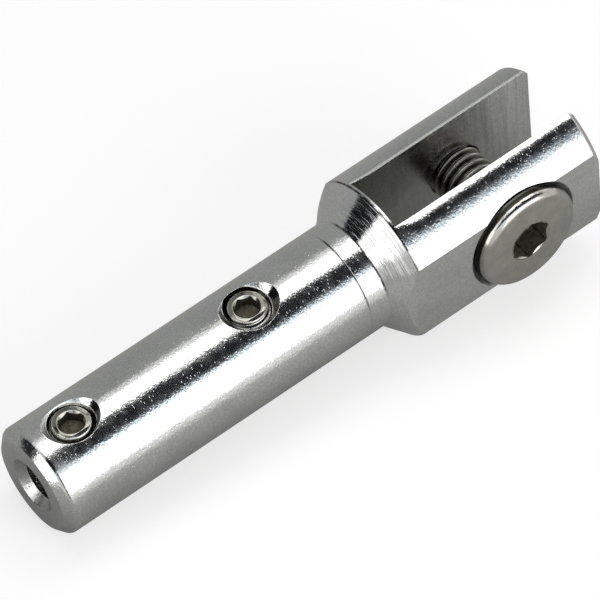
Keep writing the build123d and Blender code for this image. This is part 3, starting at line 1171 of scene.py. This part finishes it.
def floor_material(colour):
    """Pale floor that looks white away from the part, and keeps its shadow."""
    material, write = new_material("pale_floor")
    seen = seen_background(write)
    paint = write.mix_colour(seen, colour, (0.5, 0.5, 0.5))
    diffuse = write.value(0, "ShaderNodeBsdfDiffuse", Color=paint)
    glow = write.value(0, "ShaderNodeEmission", Color=WHITE, Strength=seen * 0.6)
    write.surface(write.fold("ShaderNodeAddShader", None, (diffuse, glow)))
    return material


def glowing(name, glow):
    """Material that glows in the colour and strength that a function of the place gives."""
    material, write = new_material(name)
    colour, strength = glow(write, *write.axes(write.place()))
    write.surface(write.value(0, "ShaderNodeEmission", Color=colour, Strength=strength))
    return material


def gap_glow(studio):
    """Dark card whose lower edge brightens softly towards the side lamp, more so over the fork."""
    lamp_white = (1.7, 1.9, 2.1)

    def glow(write, x, y, z):
        over_fork = x.ramp(studio.gap_fork - 4 * MM, studio.gap_fork + 4 * MM)
        softness = write.mix(over_fork, radians(4), radians(24))
        end = write.mix(over_fork, studio.gap_end, studio.gap_fork_end)
        level = (end - write.turn(z, y)).fall(0.0, softness)
        return write.mix_colour(level * level, studio.dark_card, lamp_white), 1.0
    return glow


def table_glow(studio):
    """Table as the part mirrors it, a glowing card: a painted shadow under the part, brighter away from it,
    and on its near side a painted pool of the side lamp's light.
    """
    middle_x, half_length = (ENTRY_X + TIP_X) / 2, (TIP_X - ENTRY_X) / 2
    half_width, fade_length, lamp_reach = 3 * MM, 8 * MM, 8 * MM

    def glow(write, x, y, z):
        past_x = write.largest(abs(x - middle_x) - half_length, 0.0)
        past_y = write.largest(abs(y) - half_width, 0.0)
        # Painted shadow: the glow fades from the open table's level down to the shade's level under the part
        fade = write.math("EXPONENT", write.length(past_x, past_y) * (-1.0 / fade_length))
        level = write.mix(fade, studio.table_light, studio.table_shade)
        far_side = y.ramp(-15 * MM, 25 * MM, 1.0, 0.78)
        # Painted pool of the side lamp's light on the near side
        under_lamp = write.turn(lamp_reach, -y).ramp(radians(2), radians(15), 2.1, 1.0)
        return (1.0, 1.0, 0.97), level * far_side * under_lamp
    return glow


def facing_matrix(place, target, along):
    """Place and turn that looks from a place to a target, with own X close to a direction."""
    back = (place - target).normalized()
    side = (along - back * along.dot(back)).normalized()
    turn = Matrix((side, back.cross(side), back)).transposed().to_4x4()
    return Matrix.Translation(place) @ turn


def over_part(angle, distance, x):
    """Place and turn over the part, at degrees from +Y towards +Z, facing its axis."""
    angle, target = radians(angle), Vector((x, 0, 0))
    place = target + Vector((0, cos(angle), sin(angle))) * distance
    return facing_matrix(place, target, Vector((1, 0, 0)))


def past_entry(direction, distance):
    """Place and turn in a direction from the part's middle, facing it."""
    middle = (BODY_LOW + BODY_HIGH) / 2
    place = middle + Vector(direction).normalized() * distance
    return facing_matrix(place, middle, Vector((0, 1, 0)))


def add_lamp(name, matrix, width, height, radiance):
    """Soft rectangular lamp of a given brightness."""
    light = bpy.data.lights.new(name, "AREA")
    light.shape = "RECTANGLE"
    light.size, light.size_y = width, height
    light.energy = radiance * pi * width * height
    lamp = linked(name, light)
    lamp.matrix_world = matrix
    lamp.visible_camera = False


def add_sheet(name, matrix, width, height, material):
    """Flat sheet of the studio."""
    shape = bmesh.new()
    bmesh.ops.create_grid(shape, x_segments=1, y_segments=1, size=0.5)
    sheet = finished(name, shape, matrix @ Matrix.Diagonal((width, height, 1.0, 1.0)))
    sheet.data.materials.append(material)
    return sheet


def add_card(name, matrix, width, height, material):
    """Flat card that only shows in reflections."""
    card = add_sheet(name, matrix, width, height, material)
    card.visible_camera = False
    card.visible_diffuse = False
    card.visible_transmission = False
    card.visible_shadow = False


def add_camera(studio):
    """Camera at the photograph's view."""
    azimuth, elevation, roll = studio.azimuth, studio.elevation, studio.roll
    back = Vector((sin(azimuth) * cos(elevation), -cos(azimuth) * cos(elevation), sin(elevation)))
    level_right = Vector((cos(azimuth), sin(azimuth), 0))
    right = level_right * cos(roll) + back.cross(level_right) * sin(roll)
    target = Vector((ENTRY_X, 0, 0)) + AIM_FROM_ENTRY
    camera = linked("camera", bpy.data.cameras.new("camera"))
    camera.data.lens = studio.lens
    camera.data.sensor_width = 36.0
    camera.data.clip_start, camera.data.clip_end = 0.01, 10.0
    turn = Matrix((right, back.cross(right), back)).transposed().to_4x4()
    camera.matrix_world = Matrix.Translation(target + back * studio.distance) @ turn
    bpy.context.scene.camera = camera


def floor_matrix(sizes):
    """Floor that touches the entry chamfer and the cone's end, under the part."""
    front = Vector((ENTRY_X + sizes.entry_chamfer_length, 0, -sizes.barrel_radius))
    rear = Vector((lengthwise(sizes)[1], 0, -FORK_RADIUS))
    slope = atan2(front.z - rear.z, rear.x - front.x)
    return Matrix.Translation(rear) @ Matrix.Rotation(slope, 4, "Y")


# Operators

class TERMINAL_OT_fork_body(bpy.types.Operator):
    """Build the plated body in place of the plain one"""
    bl_idname = "terminal.fork_body"
    bl_label = "Fork body"

    def execute(self, context):
        sizes, finish = context.scene.terminal_body, context.scene.terminal_finish
        body = fork_terminal_body(sizes)
        body.data.materials.clear()
        body.data.materials.append(plated_finish(finish, sizes))
        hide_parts("fork_body")
        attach(body, "fork")
        return {"FINISHED"}


class TERMINAL_OT_clevis_screw(bpy.types.Operator):
    """Build the clevis screw with its thread and socket"""
    bl_idname = "terminal.clevis_screw"
    bl_label = "Clevis screw"

    def execute(self, context):
        sizes, finish = context.scene.terminal_screws, context.scene.terminal_finish
        material = screw_finish(
            "clevis_screw_steel", finish.screw_steel, finish.clevis_socket, finish.screw_roughness,
            (CLEVIS_X, CLEVIS_LOW.y, 0), "Y", finish, clevis_masks(sizes))
        screw = clevis_screw_mesh(sizes, material)
        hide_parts("clevis_screw")
        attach(screw, "clevis_screw")
        return {"FINISHED"}


class TERMINAL_OT_set_screws(bpy.types.Operator):
    """Build both set screws with their threads and sockets"""
    bl_idname = "terminal.set_screws"
    bl_label = "Set screws"

    def execute(self, context):
        sizes, finish = context.scene.terminal_screws, context.scene.terminal_finish
        for node, x, low, high, turn, phase in (
            ("front_set_screw", FRONT_X, FRONT_LOW.z, FRONT_HIGH.z, sizes.front_turn, 0.1),
            ("rear_set_screw", REAR_X, REAR_LOW.z, REAR_HIGH.z, sizes.rear_turn, 0.6),
        ):
            material = screw_finish(
                f"{node}_steel", finish.set_steel, finish.set_socket, finish.set_roughness, (x, 0, high),
                "Z", finish, set_masks(sizes))
            screw = set_screw_mesh(f"{node}_with_thread", x, low, high, turn, phase, sizes, material)
            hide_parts(node)
            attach(screw, node)
        return {"FINISHED"}


class TERMINAL_OT_studio(bpy.types.Operator):
    """Set up the floor, the lamps, the cards and the camera"""
    bl_idname = "terminal.studio"
    bl_label = "Studio"

    def execute(self, context):
        scene = context.scene
        studio = scene.terminal_studio
        scene.view_settings.view_transform = "Standard"
        add_camera(studio)
        white_world(studio.fill_strength)
        on_floor = floor_matrix(scene.terminal_body)
        add_sheet("floor", on_floor, FLOOR_SIZE, FLOOR_SIZE, floor_material(studio.floor_colour))
        for name, low, high in (("overhead_lamp", 67.0, 92.5), ("side_lamp", 140.0, 175.0)):
            depth = 2 * LAMP_DISTANCE * tan(radians(high - low) / 2)
            place = over_part((low + high) / 2, LAMP_DISTANCE, LAMP_X)
            add_lamp(name, place, LAMP_LENGTH, depth, studio.lamp_radiance)
        add_lamp("left_lamp", past_entry((-0.94, 0.0, 0.28), 0.33), 0.2, 0.16, studio.lamp_radiance)
        gap = over_part(117, 1.02 * LAMP_DISTANCE, LAMP_X)
        add_card("gap_card", gap, 0.9, 0.272, glowing("gap_card", gap_glow(studio)))
        dark = glowing("dark_card", lambda write, x, y, z: (studio.dark_card, 1.0))
        add_card("corner_card", past_entry((-0.76, 0.5, 0.3), 0.34), 0.2, 0.22, dark)
        grey = glowing("grey_card", lambda write, x, y, z: (studio.grey_card, 1.0))
        add_card("back_card", over_part(15, 0.45, 0.1), 1.3, 0.75, grey)
        above_floor = Matrix.Translation((0, 0, 0.05 * MM)) @ on_floor
        add_card("table_card", above_floor, 1.6, 0.9, glowing("table_card", table_glow(studio)))
        return {"FINISHED"}


class TERMINAL_PT_panel(bpy.types.Panel):
    """Buttons and settings for the fork terminal"""
    bl_idname = "TERMINAL_PT_panel"
    bl_label = "Fork terminal"
    bl_space_type = "VIEW_3D"
    bl_region_type = "UI"
    bl_category = "Terminal"

    def draw(self, context):
        layout = self.layout
        for operator in OPERATORS:
            layout.operator(operator.bl_idname)
        for key, group in SETTINGS.items():
            box = layout.box()
            box.label(text=group.__doc__)
            for name in group.__annotations__:
                box.prop(getattr(context.scene, key), name)


OPERATORS = (TERMINAL_OT_fork_body, TERMINAL_OT_clevis_screw, TERMINAL_OT_set_screws, TERMINAL_OT_studio)
CLASSES = (*SETTINGS.values(), *OPERATORS, TERMINAL_PT_panel)


def register():
    for kind in CLASSES:
        bpy.utils.register_class(kind)
    for key, group in SETTINGS.items():
        setattr(bpy.types.Scene, key, bpy.props.PointerProperty(type=group))


def unregister():
    for key in SETTINGS:
        delattr(bpy.types.Scene, key)
    for kind in reversed(CLASSES):
        bpy.utils.unregister_class(kind)


def main():
    """Build every piece and the studio."""
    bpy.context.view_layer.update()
    register()
    bpy.ops.terminal.fork_body()
    bpy.ops.terminal.clevis_screw()
    bpy.ops.terminal.set_screws()
    bpy.ops.terminal.studio()


if __name__ == "__main__":
    main()
